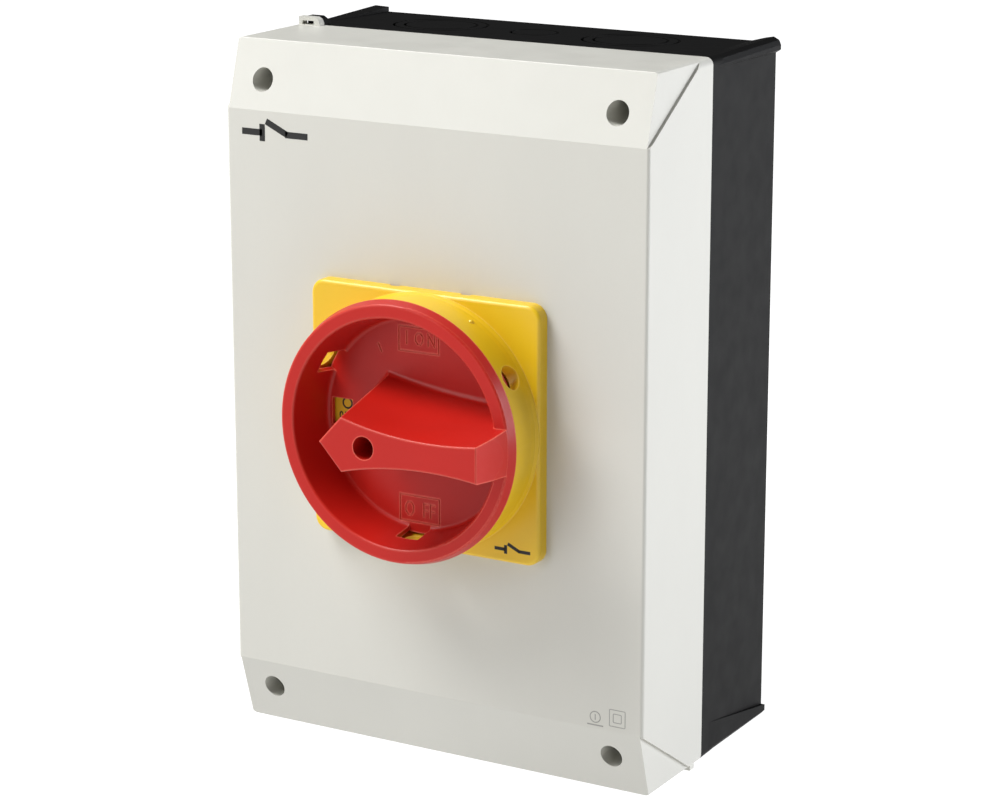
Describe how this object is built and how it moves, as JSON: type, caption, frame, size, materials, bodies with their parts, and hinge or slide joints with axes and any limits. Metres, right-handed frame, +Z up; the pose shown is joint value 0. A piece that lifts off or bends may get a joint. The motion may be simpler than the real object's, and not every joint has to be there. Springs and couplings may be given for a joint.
{
  "type": "rotary isolator switch",
  "caption": "Wall-mounted insulated box with a rotary isolator inside, worked by a padlockable red handle on a yellow plate.",
  "frame": {"origin": "centre of the flat back face that rests on the wall", "axes": "+X to the right as seen from the front, +Y into the wall, +Z up; the handle faces -Y"},
  "size_m": [0.1626, 0.1344, 0.2468],
  "materials": {
    "cover_plastic": "fine satin moulding grain",
    "housing_plastic": "satin moulded",
    "yellow_plastic": "semi-gloss moulded",
    "yellow_dial": "printed sheet",
    "red_plastic": "semi-gloss moulded",
    "seal_rubber": "soft",
    "brass": "turned",
    "screw_steel": "zinc plated",
    "zinc_steel": "zinc plated",
    "spring_steel": "drawn wire",
    "white_nylon": "moulded",
    "black_nylon": "moulded",
    "switch_plastic": "moulded",
    "carrier_plastic": "moulded",
    "copper": "tinned copper",
    "contact_silver": "silver alloy"
  },
  "bodies": {
    "enclosure_base": {"rear_housing": "housing_plastic", "screw_inserts": "brass", "mounting_plate": "zinc_steel", "mounting_plate_screws": "screw_steel", "switch_base": "switch_plastic", "switch_housing": "switch_plastic", "switch_housing_screws": "screw_steel", "line_contacts": "copper", "load_contacts": "copper", "fixed_contact_tips": "contact_silver", "line_terminal_clamps": "zinc_steel", "load_terminal_clamps": "zinc_steel", "line_terminal_screws": "screw_steel", "load_terminal_screws": "screw_steel", "return_springs": "spring_steel", "indexing_rollers": "spring_steel", "indexing_springs": "spring_steel", "earth_terminal": "brass", "earth_terminal_screws": "screw_steel", "neutral_terminal": "brass", "neutral_terminal_screws": "screw_steel"},
    "contact_carrier": {"contact_carrier": "carrier_plastic", "follower_pins": "spring_steel", "contact_bridges": "copper", "moving_contact_tips": "contact_silver", "contact_springs": "spring_steel"},
    "cam_rotor": {"cam_rotor": "black_nylon", "drive_shaft": "zinc_steel", "rotor_ring": "spring_steel"},
    "cover": {"front_cover": "cover_plastic", "cover_seal": "seal_rubber", "handle_plate": "yellow_plastic", "plate_seal": "seal_rubber", "plate_screws": "screw_steel", "position_dial": "yellow_dial", "bearing_bush": "white_nylon"},
    "handle": {"rotary_handle": "red_plastic", "shaft_coupler": "black_nylon", "handle_screw": "screw_steel", "handle_seal": "seal_rubber", "retaining_ring": "spring_steel"},
    "washer_top_left": {"screw_washer_top_left": "seal_rubber"},
    "screw_top_left": {"cover_screw_top_left": "screw_steel"},
    "washer_top_right": {"screw_washer_top_right": "seal_rubber"},
    "screw_top_right": {"cover_screw_top_right": "screw_steel"},
    "washer_bottom_left": {"screw_washer_bottom_left": "seal_rubber"},
    "screw_bottom_left": {"cover_screw_bottom_left": "screw_steel"},
    "washer_bottom_right": {"screw_washer_bottom_right": "seal_rubber"},
    "screw_bottom_right": {"cover_screw_bottom_right": "screw_steel"}
  },
  "joints": [
    {"name": "cover_lift", "type": "slide", "parent": "enclosure_base", "child": "cover", "axis": [0, -1, 0], "range_m": [0, 0.12]},
    {"name": "handle_turn", "type": "hinge", "parent": "cover", "child": "handle", "pos_m": [0, -0.1, 0], "axis": [0, 1, 0], "range_deg": [0, 90]},
    {"name": "rotor_turn", "type": "hinge", "parent": "enclosure_base", "child": "cam_rotor", "pos_m": [0, -0.06, 0], "axis": [0, 1, 0], "range_deg": [0, 90]},
    {"name": "contact_slide", "type": "slide", "parent": "enclosure_base", "child": "contact_carrier", "axis": [0, 1, 0], "range_m": [0, 0.005], "deforming": ["return_springs"]},
    {"name": "screw_out_top_left", "type": "slide", "parent": "cover", "child": "washer_top_left", "axis": [0, -1, 0], "range_m": [0, 0.0114]},
    {"name": "screw_turn_top_left", "type": "hinge", "parent": "washer_top_left", "child": "screw_top_left", "pos_m": [-0.067, -0.058, 0.1073], "axis": [0, -1, 0], "range_deg": [0, 6840]},
    {"name": "screw_out_top_right", "type": "slide", "parent": "cover", "child": "washer_top_right", "axis": [0, -1, 0], "range_m": [0, 0.0114]},
    {"name": "screw_turn_top_right", "type": "hinge", "parent": "washer_top_right", "child": "screw_top_right", "pos_m": [0.067, -0.058, 0.1073], "axis": [0, -1, 0], "range_deg": [0, 6840]},
    {"name": "screw_out_bottom_left", "type": "slide", "parent": "cover", "child": "washer_bottom_left", "axis": [0, -1, 0], "range_m": [0, 0.0114]},
    {"name": "screw_turn_bottom_left", "type": "hinge", "parent": "washer_bottom_left", "child": "screw_bottom_left", "pos_m": [-0.067, -0.058, -0.1073], "axis": [0, -1, 0], "range_deg": [0, 6840]},
    {"name": "screw_out_bottom_right", "type": "slide", "parent": "cover", "child": "washer_bottom_right", "axis": [0, -1, 0], "range_m": [0, 0.0114]},
    {"name": "screw_turn_bottom_right", "type": "hinge", "parent": "washer_bottom_right", "child": "screw_bottom_right", "pos_m": [0.067, -0.058, -0.1073], "axis": [0, -1, 0], "range_deg": [0, 6840]}
  ],
  "couplings": [
    {"joint": "rotor_turn", "follows": "handle_turn", "ratio": 1},
    {"joint": "contact_slide", "follows": "handle_turn", "m_per_rad": 0.003183},
    {"joint": "screw_turn_top_left", "follows": "screw_out_top_left", "rad_per_m": 10472},
    {"joint": "screw_turn_top_right", "follows": "screw_out_top_right", "rad_per_m": 10472},
    {"joint": "screw_turn_bottom_left", "follows": "screw_out_bottom_left", "rad_per_m": 10472},
    {"joint": "screw_turn_bottom_right", "follows": "screw_out_bottom_right", "rad_per_m": 10472}
  ]
}
